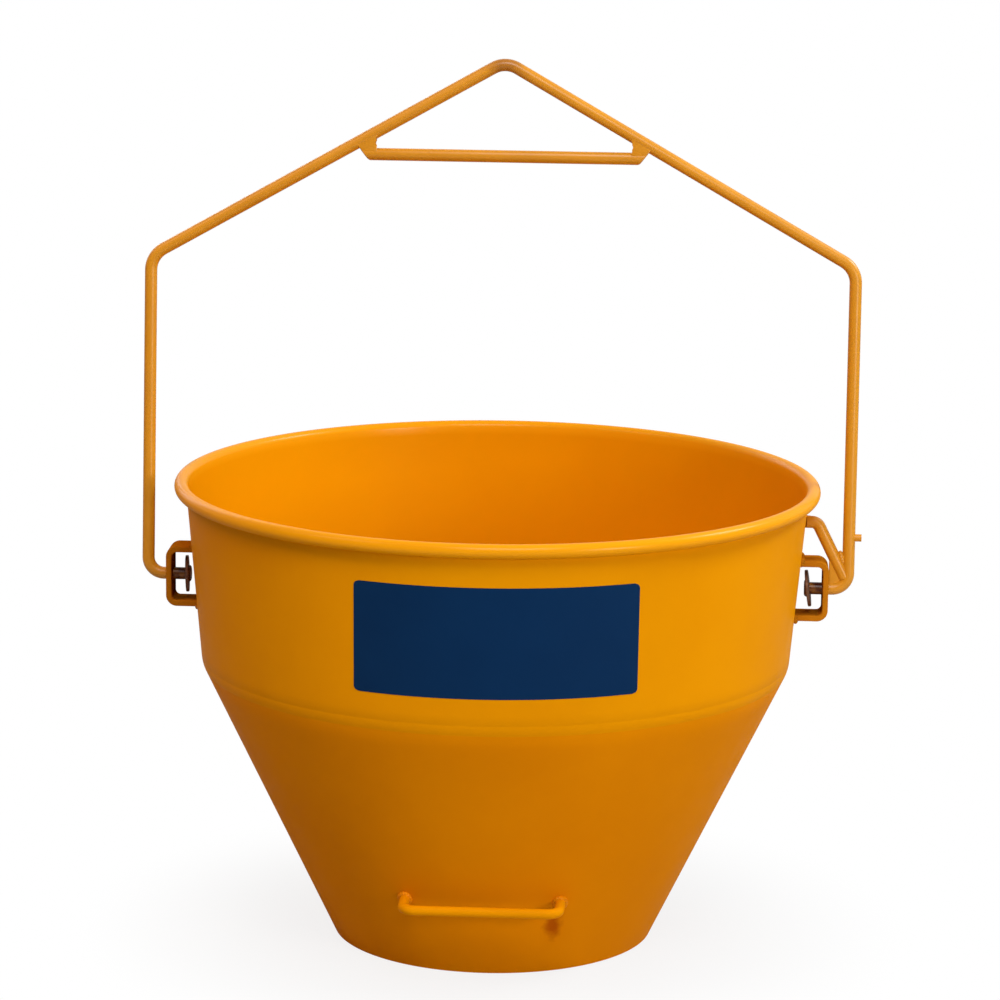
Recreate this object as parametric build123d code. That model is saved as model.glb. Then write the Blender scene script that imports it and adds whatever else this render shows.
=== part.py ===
from build123d import *
from math import acos, asin, atan2, cos, degrees, hypot, radians, sin, sqrt, tan
import os

# Hoist bucket with a swinging bail, in millimetres.
# Origin on the floor at the middle of the bottom, +Z up, pivot axis along X, tipping handle towards -Y.

# Bucket shell
rim_diameter = 524.0
body_height = 378.0
knee_diameter = 480.0
knee_height = 228.0
base_diameter = 262.0
sheet = 2.0
bottom_thickness = 3.0
rim_wire_diameter = 7.0
wire_clearance = 0.1
curl_gap = 0.6

# Welds
weld_leg = 3.0
weld_root = 2.0
knee_weld_reach = 4.0
knee_weld_crown = 0.4
seam_half_width = 2.5
seam_crown = 0.7
seam_stagger = 33.5
seam_end_gap = 5.0

# Pivot straps
pivot_height = 292.0
strap_width = 25.0
strap_thickness = 5.0
strap_height = 50.0
strap_bend = 4.0
strap_reach = 24.5

# Bail
bail_rod = 10.0
bail_lean = 6.0
shoulder_height = 260.0
bail_slope = 29.5
top_bend = 20.0
end_bend = 13.0
end_bend_gap = 3.0
pivot_clearance = 0.5
pin_wall_gap = 5.0
pin_proud = 2.0

# End washers
washer_diameter = 30.0
washer_thickness = 2.5
washer_clearance = 0.25

# Hook bar under the peak of the bail
hook_bar_rod = 10.0
hook_bar_drop = 76.5
hook_bar_bite = 1.2
hook_bar_cut = 25.0
hook_weld_inset = 4.5

# Stop arm on the right bail leg, and the lug that it leans on
# arm_share: how far up the free gap from strap to rim the arm runs
arm_rod = 10.0
arm_share = 0.6
arm_tip_gap = 0.8
arm_tip_length = 6.0
arm_strap_gap = 0.8
arm_bend = 7.0
arm_foot_inset = 3.0
arm_foot_height = 9.0
lug_thickness = 6.0
lug_height = 9.0
lug_drop = 1.5
lug_reach = 7.0
lug_corner = 3.0
stop_clearance = 0.3

# Stud on the right bail leg
stud_diameter = 6.0
stud_height = 42.0
stud_length = 5.0

# Tipping handle
handle_rod = 8.0
handle_width = 123.0
handle_height = 67.0
handle_reach = 32.0
handle_bend = 10.0

# Worked-out sizes of the shell
knee_radius = knee_diameter / 2
base_radius = base_diameter / 2
curl_outer = rim_wire_diameter / 2 + wire_clearance + sheet
curl_inner = curl_outer - sheet
curl_radius = rim_diameter / 2 - curl_outer
curl_height = body_height - curl_outer
cone_lean = atan2(knee_radius - base_radius, knee_height)
curl_out = curl_radius - knee_radius
curl_up = curl_height - knee_height
band_lean = atan2(curl_out, curl_up) - asin(curl_inner / hypot(curl_out, curl_up))
mitre_lean = (band_lean + cone_lean) / 2
mitre_depth = sheet / cos((cone_lean - band_lean) / 2)
disc_radius = base_radius - sheet / cos(cone_lean)


def band_radius(height):
    """Outside radius of the upper band at a height."""
    return knee_radius + (height - knee_height) * tan(band_lean)


def cone_radius(height):
    """Outside radius of the lower cone at a height."""
    return base_radius + height * tan(cone_lean)


# Worked-out sizes of the pivot and the bail, whose heights count from the pivot
strap_face = band_radius(pivot_height) + strap_reach
bail_half_width = strap_face + end_bend_gap + end_bend
pin_end = band_radius(pivot_height) + pin_wall_gap
washer_place = pin_end + pin_proud
peak_height = shoulder_height + bail_half_width * tan(radians(bail_slope))
hook_bar_height = peak_height - hook_bar_drop
slope_underside = bail_rod / 2 / cos(radians(bail_slope))
hook_bar_free = hook_bar_drop - hook_bar_rod / 2 - slope_underside
hook_bar_half = hook_bar_free / tan(radians(bail_slope)) + hook_bar_bite
bail_place = Pos(0, 0, pivot_height) * Rot(-bail_lean, 0, 0)

# Worked-out sizes of the stop arm and its lug
strap_outer_bend = strap_bend + strap_thickness
strap_top = pivot_height + strap_height / 2
arm_free_gap = curl_height - curl_outer - strap_top - arm_rod
arm_top = strap_top + arm_rod / 2 + arm_share * arm_free_gap
arm_height = (arm_top - pivot_height) / cos(radians(bail_lean))
arm_tip_end = band_radius(arm_top) + arm_rod / 2 * abs(tan(band_lean)) + arm_tip_gap
arm_foot = bail_half_width - arm_foot_inset
lug_middle = arm_top - lug_drop
lug_front = arm_height * sin(radians(bail_lean)) + arm_rod / 2 + stop_clearance


def clear_slope():
    """Slope, inwards over upwards, at which the arm clears the strap's corner as the bail swings."""
    clear = arm_rod / 2 + arm_strap_gap
    leans = []
    for turn in range(0, 91, 5):
        across = strap_face - strap_outer_bend * (1 - cos(radians(turn)))
        up = strap_height / 2 - strap_outer_bend * (1 - sin(radians(turn)))
        inwards = arm_foot - across
        upwards = hypot(up, strap_width / 2) - arm_foot_height
        leans.append(atan2(inwards, upwards) - asin(clear / hypot(inwards, upwards)))
    return tan(min(leans))


arm_rise = arm_height - arm_foot_height
arm_corner = max(arm_tip_end + arm_tip_length, arm_foot - arm_rise * clear_slope())
arm_slope = (arm_foot - arm_corner) / arm_rise


def along(lean, distance):
    """Step up a wall that leans outwards, as radius and height."""
    return distance * sin(lean), distance * cos(lean)


def out(lean, distance):
    """Step square out of a wall that leans outwards, as radius and height."""
    return distance * cos(lean), -distance * sin(lean)


def at(point, *steps):
    """A point of the half section, moved by steps of radius and height."""
    radius = point[0] + sum(step[0] for step in steps)
    height = point[1] + sum(step[1] for step in steps)
    return (radius, 0, height)


def turned(*edges):
    """Ring whose half section the edges enclose."""
    return revolve(make_face(edges), Axis.Z)


def rod(points, bends, diameter, square_to=(0, 1, 0)):
    """Round bar bent along points in a plane, with one bend radius for each corner."""
    path = FilletPolyline(*points, radius=bends)
    return sweep(path.location_at(0, x_dir=square_to) * Circle(diameter / 2), path)


def largest(shape):
    """The main solid left by a cut."""
    return max(shape.solids(), key=lambda solid: solid.volume)


knee = (knee_radius, knee_height)
foot = (base_radius, 0)
curl = (curl_radius, curl_height)
knee_out = at(knee)
knee_in = at(knee, out(mitre_lean, -mitre_depth))
curl_root_out = at(curl, out(band_lean, -curl_inner))

# Everything inside the shell's outer surface, for trimming what is welded on it
shell_core = turned(
    Polyline((0, 0, 0), at(foot), knee_out, curl_root_out, (0, 0, curl_root_out[2]), close=True)
)


def upper_band():
    """Upper sheet, curled outwards round the rim wire."""
    start = 180 - degrees(band_lean)
    free = degrees(acos((curl_inner - curl_gap) / curl_outer))
    turn = free - 360
    centre = at(curl)

    def rolled(radius):
        plane = Plane(centre, x_dir=(1, 0, 0), z_dir=(0, -1, 0))
        return plane * CenterArc((0, 0), radius, start, turn)

    inner = rolled(curl_inner)
    outer = rolled(curl_outer)
    return turned(
        Line(knee_out, inner @ 0),
        inner,
        Line(inner @ 1, outer @ 1),
        outer,
        Line(outer @ 0, knee_in),
        Line(knee_in, knee_out),
    )


def rim_wire():
    """Wire inside the curled rim."""
    return Pos(0, 0, curl_height) * Torus(curl_radius, rim_wire_diameter / 2)


def lower_cone():
    """Lower sheet, mitred to the band at the knee."""
    return turned(Polyline(at(foot), knee_out, knee_in, (disc_radius, 0, 0), close=True))


def bottom_disc():
    """Bottom plate, dropped in from above."""
    return Cylinder(disc_radius, bottom_thickness, align=(Align.CENTER, Align.CENTER, Align.MIN))


def knee_welds():
    """Weld along the knee, a flat fillet inside and a bead dressed smooth outside."""

    def edges(corner):
        middle = (corner[0], corner[2])
        above = at(middle, along(band_lean, knee_weld_reach))
        below = at(middle, along(cone_lean, -knee_weld_reach))
        return above, below

    above, below = edges(knee_in)
    inside = turned(Polyline(above, knee_in, below, close=True))
    above, below = edges(knee_out)
    crown = at(knee, out(mitre_lean, knee_weld_crown))
    outside = turned(ThreePointArc(above, crown, below), Polyline(below, knee_out, above))
    return [inside, outside]


knee_beads = knee_welds()


def bottom_weld():
    """Weld between the bottom plate and the cone, on the inside."""
    top = bottom_thickness + weld_leg
    edge = (disc_radius, 0, 0)
    return turned(
        Polyline(
            edge,
            (disc_radius, 0, bottom_thickness),
            (disc_radius - weld_leg, 0, bottom_thickness),
            (disc_radius + top * tan(cone_lean), 0, top),
            close=True,
        )
    )


def seam_weld(low, high, lean, aside):
    """Bead up the joint of a rolled sheet, a distance aside from the middle of the back."""
    bead_radius = (seam_half_width**2 + seam_crown**2) / (2 * seam_crown)
    sunk = out(lean, seam_crown - bead_radius)
    start = at(low, sunk)
    end = at(high, sunk)
    line = Line(start, end)
    bead = sweep(line.location_at(0) * Circle(bead_radius), line)
    return Rot(0, 0, 90 + degrees(aside / knee_radius)) * bead - shell_core


def band_seam_weld():
    """Joint of the upper band, at the back."""
    low = at(knee, along(band_lean, seam_end_gap))
    high = at((curl_root_out[0], curl_root_out[2]), along(band_lean, -curl_outer - seam_end_gap))
    return seam_weld((low[0], low[2]), (high[0], high[2]), band_lean, -seam_stagger)


def cone_seam_weld():
    """Joint of the lower cone, at the back."""
    low = at(foot, along(cone_lean, seam_end_gap))
    high = at(knee, along(cone_lean, -seam_end_gap))
    return seam_weld((low[0], low[2]), (high[0], high[2]), cone_lean, seam_stagger)


def pivot_strap():
    """Flat bar bent into a C, its ends trimmed to the wall, with the pivot hole."""
    length = strap_reach * 2 + strap_thickness
    walls = 2 * strap_thickness
    outline = RectangleRounded(2 * length, strap_height, strap_outer_bend)
    window = RectangleRounded(2 * length - walls, strap_height - walls, strap_bend)
    middle = Plane((strap_face - length, 0, pivot_height), x_dir=(1, 0, 0), z_dir=(0, -1, 0))
    strap = extrude(middle * (outline - window), strap_width / 2, both=True)
    hole = Pos(strap_face, 0, pivot_height) * Rot(0, 90, 0) * Cylinder(
        bail_rod / 2 + pivot_clearance, 3 * strap_thickness
    )
    return largest(strap - hole - shell_core)


right_strap = pivot_strap()


def strap_welds():
    """Fillet weld round the outside of each end of a strap, run up to what is welded on beside it."""
    beside = [*knee_beads, stop_lug(), stop_lug_weld()]
    welds = []
    for side in (1, -1):
        inner = side * (strap_height / 2 - strap_thickness)
        outer = side * strap_height / 2
        wall = band_radius(pivot_height + outer)

        def section(place, spread):
            near, far = sorted((inner, outer + side * spread))
            plane = Plane((place, 0, pivot_height + (near + far) / 2), x_dir=(0, 1, 0), z_dir=(1, 0, 0))
            return plane * Rectangle(strap_width + 2 * spread, far - near)

        bead = loft([section(wall - weld_root, weld_leg + weld_root), section(wall + weld_leg, 0)])
        welds.append(largest(bead - right_strap - shell_core - beside))
    return welds


def stop_lug():
    """Flat stop on the wall, just behind the tip of the stop arm."""
    wall = band_radius(lug_middle)
    depth = lug_reach + weld_root
    blank = Pos(wall - weld_root + depth / 2, lug_front + lug_thickness / 2, lug_middle) * Box(
        depth, lug_thickness, lug_height
    )
    tip_edges = blank.faces().sort_by(Axis.X)[-1].edges().filter_by(Axis.Y)
    return fillet(tip_edges, lug_corner) - shell_core


def stop_lug_weld():
    """Fillet weld up the back of the stop lug."""
    back = lug_front + lug_thickness
    ends = []
    for height in (lug_middle - lug_height / 2, lug_middle + lug_height / 2):
        ends.append((sqrt(band_radius(height) ** 2 - back**2), back, height))
    line = Line(*ends)
    bead = sweep(line.location_at(0) * Circle(weld_leg), line)
    return largest(bead - shell_core - stop_lug())


handle_leg = handle_width / 2
handle_root = -sqrt(cone_radius(handle_height) ** 2 - handle_leg**2)
handle_front = handle_root - handle_reach


def tipping_handle():
    """Bent bar low on the front of the cone, its legs trimmed to the wall."""
    sunk = handle_root + 2 * handle_rod
    corners = [
        (-handle_leg, sunk, handle_height),
        (-handle_leg, handle_front, handle_height),
        (handle_leg, handle_front, handle_height),
        (handle_leg, sunk, handle_height),
    ]
    bar = rod(corners, handle_bend, handle_rod, square_to=(0, 0, 1))
    return largest(bar - shell_core)


def tipping_handle_welds():
    """Weld round the root of each leg of the tipping handle."""
    handle = tipping_handle()
    welds = []
    for side in (-1, 1):
        bead = Pos(side * handle_leg, handle_root, handle_height) * Sphere(handle_rod / 2 + weld_leg)
        welds.append(largest(bead - handle - shell_core))
    return welds


def bail_bar():
    """Bail bent from one round bar, with its ends turned in as pivots."""
    corners = [
        (-pin_end, 0, 0),
        (-bail_half_width, 0, 0),
        (-bail_half_width, 0, shoulder_height),
        (0, 0, peak_height),
        (bail_half_width, 0, shoulder_height),
        (bail_half_width, 0, 0),
        (pin_end, 0, 0),
    ]
    return rod(corners, [end_bend, top_bend, top_bend, top_bend, end_bend], bail_rod)


bail = bail_bar()


def hook_bar():
    """Cross bar that closes the hook eye, its ends cut slanting and coped under the two slopes."""
    length = 2 * hook_bar_half
    side = Plane.XZ * Trapezoid(length, hook_bar_rod, 90 + hook_bar_cut)
    blank = extrude(side, hook_bar_rod / 2, both=True)
    bar = Rot(0, 90, 0) * Cylinder(hook_bar_rod / 2, length) & blank
    return largest(Pos(0, 0, hook_bar_height) * bar - bail)


def hook_bar_welds():
    """Weld in the corner at each end of the hook bar."""
    bar = hook_bar()
    welds = []
    for side in (-1, 1):
        seat = Pos(side * (hook_bar_half - hook_weld_inset), 0, hook_bar_height + hook_bar_rod / 2)
        welds.append(largest(seat * Sphere(hook_bar_rod / 2 + weld_leg / 2) - bail - bar))
    return welds


def end_washer():
    """Washer on the turned-in end of the bail."""
    disc = Cylinder(washer_diameter / 2, washer_thickness, align=(Align.CENTER, Align.CENTER, Align.MIN))
    hole = Cylinder(bail_rod / 2 + washer_clearance, 3 * washer_thickness)
    return Pos(washer_place, 0, 0) * Rot(0, 90, 0) * (disc - hole)


def end_washer_weld():
    """Weld that holds the washer on the end of the bail."""
    inner = bail_rod / 2
    bead = make_face(Polyline((inner, 0, 0), (inner + pin_proud, 0, 0), (inner, 0, pin_proud), close=True))
    return Pos(washer_place, 0, 0) * Rot(0, -90, 0) * revolve(bead, Axis.Z)


def stop_arm():
    """Bent bar from the lower bend of the right leg to the wall under the rim."""
    corners = [
        (arm_tip_end, 0, arm_height),
        (arm_corner, 0, arm_height),
        (arm_foot, 0, arm_foot_height),
    ]
    return largest(rod(corners, arm_bend, arm_rod) - bail)


def stop_arm_weld():
    """Weld in the crotch between the stop arm and the bail leg."""
    apart = (arm_rod + bail_rod) / 2
    height = arm_foot_height + (apart - arm_foot_inset) / arm_slope
    crotch = bail_half_width - apart / 2
    bead = Pos(crotch, 0, height) * Sphere(arm_rod / 2)
    return largest(bead - bail - stop_arm())


def leg_stud():
    """Short stud on the outside of the right leg."""
    length = stud_length + bail_rod / 2
    peg = Rot(0, 90, 0) * Cylinder(stud_diameter / 2, length)
    return largest(Pos(bail_half_width + length / 2, 0, stud_height) * peg - bail)


def left(shape):
    """The left-hand twin of a right-hand piece."""
    return mirror(shape, Plane.YZ)


fixed_pieces = {
    "upper_band": upper_band(),
    "rim_wire": rim_wire(),
    "lower_cone": lower_cone(),
    "bottom_disc": bottom_disc(),
    "knee_welds": knee_beads,
    "bottom_weld": bottom_weld(),
    "band_seam_weld": band_seam_weld(),
    "cone_seam_weld": cone_seam_weld(),
    "right_pivot_strap": right_strap,
    "left_pivot_strap": left(right_strap),
    "right_strap_welds": strap_welds(),
    "left_strap_welds": [left(weld) for weld in strap_welds()],
    "stop_lug": stop_lug(),
    "stop_lug_weld": stop_lug_weld(),
    "tipping_handle": tipping_handle(),
    "tipping_handle_welds": tipping_handle_welds(),
}

bail_pieces = {
    "bail_bar": bail,
    "hook_bar": hook_bar(),
    "hook_bar_welds": hook_bar_welds(),
    "right_end_washer": end_washer(),
    "left_end_washer": left(end_washer()),
    "end_washer_welds": [end_washer_weld(), left(end_washer_weld())],
    "stop_arm": stop_arm(),
    "stop_arm_weld": stop_arm_weld(),
    "leg_stud": leg_stud(),
}


def grouped(piece):
    """One shape for export: a lone solid as it is, several as a group."""
    return Compound(children=piece) if isinstance(piece, list) else piece


os.makedirs("parts", exist_ok=True)
for name, piece in fixed_pieces.items():
    export_step(grouped(piece), f"parts/{name}.step")
for name, piece in bail_pieces.items():
    export_step(bail_place * grouped(piece), f"parts/{name}.step")
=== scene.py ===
from math import acos, asin, atan2, cos, hypot, pi, radians, sin, sqrt, tan

import bmesh
import bpy
from mathutils import Matrix, Quaternion, Vector


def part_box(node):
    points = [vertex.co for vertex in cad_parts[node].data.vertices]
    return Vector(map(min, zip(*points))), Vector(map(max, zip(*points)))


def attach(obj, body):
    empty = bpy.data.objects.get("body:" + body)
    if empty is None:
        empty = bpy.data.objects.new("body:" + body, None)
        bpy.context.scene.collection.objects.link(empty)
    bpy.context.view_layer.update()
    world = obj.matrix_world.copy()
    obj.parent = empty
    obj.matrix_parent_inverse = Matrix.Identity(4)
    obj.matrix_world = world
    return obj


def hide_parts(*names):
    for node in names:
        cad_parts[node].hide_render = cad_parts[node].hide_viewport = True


# Hoist bucket: rolled, welded and sprayed steel with a swinging bail.
# Metres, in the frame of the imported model: +Z up, pivot axis along X, tipping handle towards -Y.

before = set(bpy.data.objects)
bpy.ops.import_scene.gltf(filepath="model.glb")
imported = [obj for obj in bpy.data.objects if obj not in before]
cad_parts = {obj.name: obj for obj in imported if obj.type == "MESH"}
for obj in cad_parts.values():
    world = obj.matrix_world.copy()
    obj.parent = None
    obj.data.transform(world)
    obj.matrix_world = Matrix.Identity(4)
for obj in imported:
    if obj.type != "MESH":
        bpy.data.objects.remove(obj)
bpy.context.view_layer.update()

# Bucket shell
sheet = 0.002
rim_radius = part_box("upper_band")[1].x
body_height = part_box("upper_band")[1].z
knee_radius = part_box("lower_cone")[1].x
knee_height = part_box("upper_band")[0].z
base_radius = 0.131
bottom_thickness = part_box("bottom_disc")[1].z
rim_wire_radius = 0.0035
wire_clearance = 0.0001
curl_gap = 0.0006
shell_waviness = 0.00025
shell_wave_size = 0.16

# Pivot straps
pivot_height = 0.292
strap_width = 0.025
strap_thickness = 0.005
strap_height = 0.050
strap_bend = 0.004
strap_reach = 0.0245
strap_edge = 0.0009

# Bail, whose heights count from the pivot
bail_rod = 0.010
bail_lean = radians(6)
bail_half_width = 0.2862
shoulder_height = 0.260
bail_slope = radians(29.5)
top_bend = 0.020
end_bend = 0.013
pin_clearance = 0.0005
pin_end = 0.2507
hook_bar_drop = 0.0765
hook_bar_half = 0.1174
hook_bar_cut = radians(38)
hook_bar_edge = 0.0014

# Washers welded on the turned-in ends, a little crooked
washer_radius = 0.015
washer_thickness = 0.0025
washer_edge = 0.0004
washer_clearance = 0.00025
pin_past_washer = 0.002
right_washer_tilt = radians(-7)
right_washer_turn = radians(-3.5)
left_washer_tilt = radians(2)
left_washer_turn = radians(-5)

# Stop arm, its web and the stud on the right leg
arm_height = 0.0542
arm_tip_end = 0.2517
arm_corner = 0.2602
arm_bend = 0.007
arm_foot_inset = 0.003
arm_foot_height = 0.009
web_thickness = 0.005
web_gap = 0.0004
web_edge = 0.0006
stud_radius = 0.003
stud_height = 0.042
stud_length = 0.005
stud_sunk = 0.001

# Tipping handle and the painted shadow under its right end
handle_rod = 0.008
handle_half = 0.0615
handle_height = 0.067
handle_reach = 0.032
handle_bend = 0.010
shadow_inset = 0.006
shadow_drop = 0.0215

# Weld beads
ripple_pitch = 0.0021
ripple_depth = 0.00045
bead_unevenness = 0.0006
root_bead = 0.0044
root_bead_lift = 0.0008
root_bead_splay = 0.7
seam_width = 0.0056
seam_crown = 0.0009
seam_stagger = 0.0335
seam_end_gap = 0.005
knee_round = 0.0045
knee_bead_width = 0.0070
knee_bead_crown = 0.0011
bottom_bead_width = 0.0062
bottom_bead_crown = 0.0024
bottom_bead_inset = 0.0002
bottom_bead_lift = 0.0006
washer_bead_width = 0.0036
washer_bead_crown = 0.0018
arm_bead_start = 0.010
arm_bead_length = 0.012
arm_bead_width = 0.0060
arm_bead_crown = 0.0042

# Weld that fills the corners of the hook eye
hook_weld_reach = 0.0150
hook_weld_hollow = 0.0030
hook_weld_thickness = 0.0090
hook_weld_foot = 0.0045
hook_weld_top = 0.0030
hook_weld_edge = 0.0012
hook_weld_overlap = 0.0010

# Blank label on the front of the band
label_width = 0.2246
label_height = 0.0888
label_corner = 0.0042
label_middle = 0.2985
label_turn = radians(3.12)
label_thickness = 0.00018
label_lift = 0.00004

# Camera of the photograph, with lens and sensor in millimetres
camera_place = (0.1640, -3.0894, 0.9940)
camera_direction = (-0.05127, 0.97825, -0.20097)
camera_lens = 139.7
camera_sensor = 36.0
camera_roll = radians(0.704)

# Fineness of the meshes
shell_steps = 288
wall_rows = 16
curl_steps = 40
knee_steps = 12
bend_steps = 14
bar_edge_steps = 8
bevel_steps = 3
hole_steps = 48
washer_steps = 72
steps_per_ripple = 7
bead_edge_steps = 16
long_bead_points = 360
root_bead_points = 28
bead_side_steps = 8
label_columns = 97
label_rows = 87
merge_distance = 0.00001

# Worked-out sizes of the shell
curl_outer = rim_wire_radius + wire_clearance + sheet
curl_inner = curl_outer - sheet
curl_radius = rim_radius - curl_outer
curl_height = body_height - curl_outer
curl_out = curl_radius - knee_radius
curl_up = curl_height - knee_height
band_lean = atan2(curl_out, curl_up) - asin(curl_inner / hypot(curl_out, curl_up))
cone_lean = atan2(knee_radius - base_radius, knee_height)
mitre_lean = (band_lean + cone_lean) / 2
mitre_depth = sheet / cos((cone_lean - band_lean) / 2)
disc_radius = base_radius - sheet / cos(cone_lean)


def band_radius(height):
    """Outside radius of the upper band at a height."""
    return knee_radius + (height - knee_height) * tan(band_lean)


def cone_radius(height):
    """Outside radius of the lower cone at a height."""
    return base_radius + height * tan(cone_lean)


def cone_front(x, height):
    """Place of the cone's outside wall towards the front."""
    return -sqrt(cone_radius(height) ** 2 - x**2)


# Worked-out places of the other pieces
strap_face = band_radius(pivot_height) + strap_reach
peak_height = shoulder_height + bail_half_width * tan(bail_slope)
hook_bar_height = peak_height - hook_bar_drop
bail_place = Matrix.Translation((0, 0, pivot_height)) @ Matrix.Rotation(-bail_lean, 4, "X")
washer_place = pin_end + pin_past_washer
arm_foot = bail_half_width - arm_foot_inset
arm_slope = (arm_foot - arm_corner) / (arm_height - arm_foot_height)
handle_root = cone_front(handle_half, handle_height)
handle_front = handle_root - handle_reach
shadow_x = handle_half - shadow_inset
shadow_height = handle_height - shadow_drop
mirror_left = Matrix.Scale(-1, 4, (1, 0, 0))


# Short calls for node trees

number_socket = "NodeSocketFloat"
count_socket = "NodeSocketInt"
vector_socket = "NodeSocketVector"
colour_socket = "NodeSocketColor"
geometry_socket = "NodeSocketGeometry"
material_socket = "NodeSocketMaterial"
noise_middle = 0.5


def feed(tree, node, links):
    """Links or sets a node's inputs, by name or number."""
    for key, value in links.items():
        if isinstance(value, bpy.types.NodeSocket):
            tree.links.new(value, node.inputs[key])
        else:
            node.inputs[key].default_value = value


def add(tree, kind, links=None, **settings):
    """Adds a node, sets its options, feeds its inputs and gives its outputs."""
    node = tree.nodes.new(kind)
    for option, value in settings.items():
        setattr(node, option, value)
    feed(tree, node, links or {})
    return node.outputs


def math(tree, operation, *values):
    """Adds a Math node and gives its result."""
    return add(tree, "ShaderNodeMath", dict(enumerate(values)), operation=operation)[0]


def vector_math(tree, operation, *values):
    """Adds a Vector Math node and gives its vector."""
    return add(tree, "ShaderNodeVectorMath", dict(enumerate(values)), operation=operation)[0]


def scaled(tree, vector, factor):
    """Adds a node that scales a vector."""
    return add(tree, "ShaderNodeVectorMath", {0: vector, "Scale": factor}, operation="SCALE")[0]


def length_of(tree, vector):
    """Adds a node that measures a vector."""
    return add(tree, "ShaderNodeVectorMath", {0: vector}, operation="LENGTH")["Value"]


def axes_of(tree, vector):
    """Adds a node that takes a vector apart into X, Y and Z."""
    return add(tree, "ShaderNodeSeparateXYZ", {0: vector})


def noise(tree, place, scale, detail, roughness=0.5):
    """Adds a noise texture and gives its value."""
    links = {"Vector": place, "Scale": scale, "Detail": detail, "Roughness": roughness}
    return add(tree, "ShaderNodeTexNoise", links)[0]


def ramp(tree, value, over, onto=(0.0, 1.0), **settings):
    """Adds a node that maps one range onto another, held at its ends."""
    links = {
        "Value": value, "From Min": over[0], "From Max": over[1], "To Min": onto[0], "To Max": onto[1],
    }
    return add(tree, "ShaderNodeMapRange", links, **settings)[0]


def blended(tree, share, first, second):
    """Adds a node that blends two colours."""
    return add(tree, "ShaderNodeMix", {0: share, 6: first, 7: second}, data_type="RGBA")[2]


def object_place(tree):
    """Adds a node that gives the place on a piece."""
    return add(tree, "ShaderNodeTexCoord")["Object"]


def group(name, kind, inputs, outputs):
    """A node group with named inputs and outputs; gives the tree, its inputs and its output node."""
    tree = bpy.data.node_groups.new(name, kind)
    for label, socket in inputs.items():
        tree.interface.new_socket(label, in_out="INPUT", socket_type=socket)
    for label, socket in outputs.items():
        tree.interface.new_socket(label, in_out="OUTPUT", socket_type=socket)
    return tree, tree.nodes.new("NodeGroupInput").outputs, tree.nodes.new("NodeGroupOutput")


def shape_tree(name, *sizes, count=None):
    """A Geometry Nodes tree with a source shape, named sizes, a count where needed and a material."""
    inputs = {"Source": geometry_socket}
    if count:
        inputs[count] = count_socket
    inputs.update({size: number_socket for size in sizes})
    inputs["Material"] = material_socket
    return group(name, "GeometryNodeTree", inputs, {"Shape": geometry_socket})


def close_tree(tree, given, result, geometry, crease):
    """Ends a tree: smooth faces, edges past the crease kept sharp, instances made real, material set."""
    smooth = add(tree, "GeometryNodeSetShadeSmooth", {"Geometry": geometry, "Shade Smooth": True})[0]
    angle = add(tree, "GeometryNodeInputMeshEdgeAngle")["Unsigned Angle"]
    sharp = math(tree, "GREATER_THAN", angle, crease)
    links = {"Geometry": smooth, "Selection": sharp, "Shade Smooth": False}
    creased = add(tree, "GeometryNodeSetShadeSmooth", links, domain="EDGE")[0]
    real = add(tree, "GeometryNodeRealizeInstances", {"Geometry": creased})[0]
    painted = add(tree, "GeometryNodeSetMaterial", {"Geometry": real, "Material": given["Material"]})[0]
    feed(tree, result, {"Shape": painted})
    return tree


def source_line(tree, given):
    """The source shape as a curve."""
    return add(tree, "GeometryNodeMeshToCurve", {"Mesh": given["Source"]})[0]


def own_position(tree):
    """Position of each point, whole and as X, Y and Z."""
    position = add(tree, "GeometryNodeInputPosition")[0]
    return position, axes_of(tree, position)


def named(tree, attribute, kind="FLOAT"):
    """Reads an attribute of the source shape."""
    return add(tree, "GeometryNodeInputNamedAttribute", {"Name": attribute}, data_type=kind)["Attribute"]


def stored(tree, geometry, attribute, value):
    """Keeps a value on each point under a name."""
    links = {"Geometry": geometry, "Name": attribute, "Value": value}
    return add(tree, "GeometryNodeStoreNamedAttribute", links)[0]


def moved_to(tree, geometry, x, y, z=0.0):
    """Moves each point to a place."""
    place = add(tree, "ShaderNodeCombineXYZ", {"X": x, "Y": y, "Z": z})[0]
    return add(tree, "GeometryNodeSetPosition", {"Geometry": geometry, "Position": place})[0]


def pushed(tree, geometry, step):
    """Moves each point by a step."""
    return add(tree, "GeometryNodeSetPosition", {"Geometry": geometry, "Offset": step})[0]


def faced(tree, curve, attribute):
    """Turns a curve's normals to a direction kept on its source."""
    links = {"Curve": curve, "Normal": named(tree, attribute, "FLOAT_VECTOR")}
    return add(tree, "GeometryNodeSetCurveNormal", links, mode="FREE")[0]


def rounded(tree, curve, steps, radius):
    """Rounds the corners of a curve."""
    links = {"Curve": curve, "Count": steps, "Radius": radius, "Limit Radius": True}
    return add(tree, "GeometryNodeFilletCurve", links, mode="POLY")[0]


def merged(tree, geometry):
    """Merges points that lie together."""
    links = {"Geometry": geometry, "Distance": merge_distance}
    return add(tree, "GeometryNodeMergeByDistance", links)[0]


# Geometry trees

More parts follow.
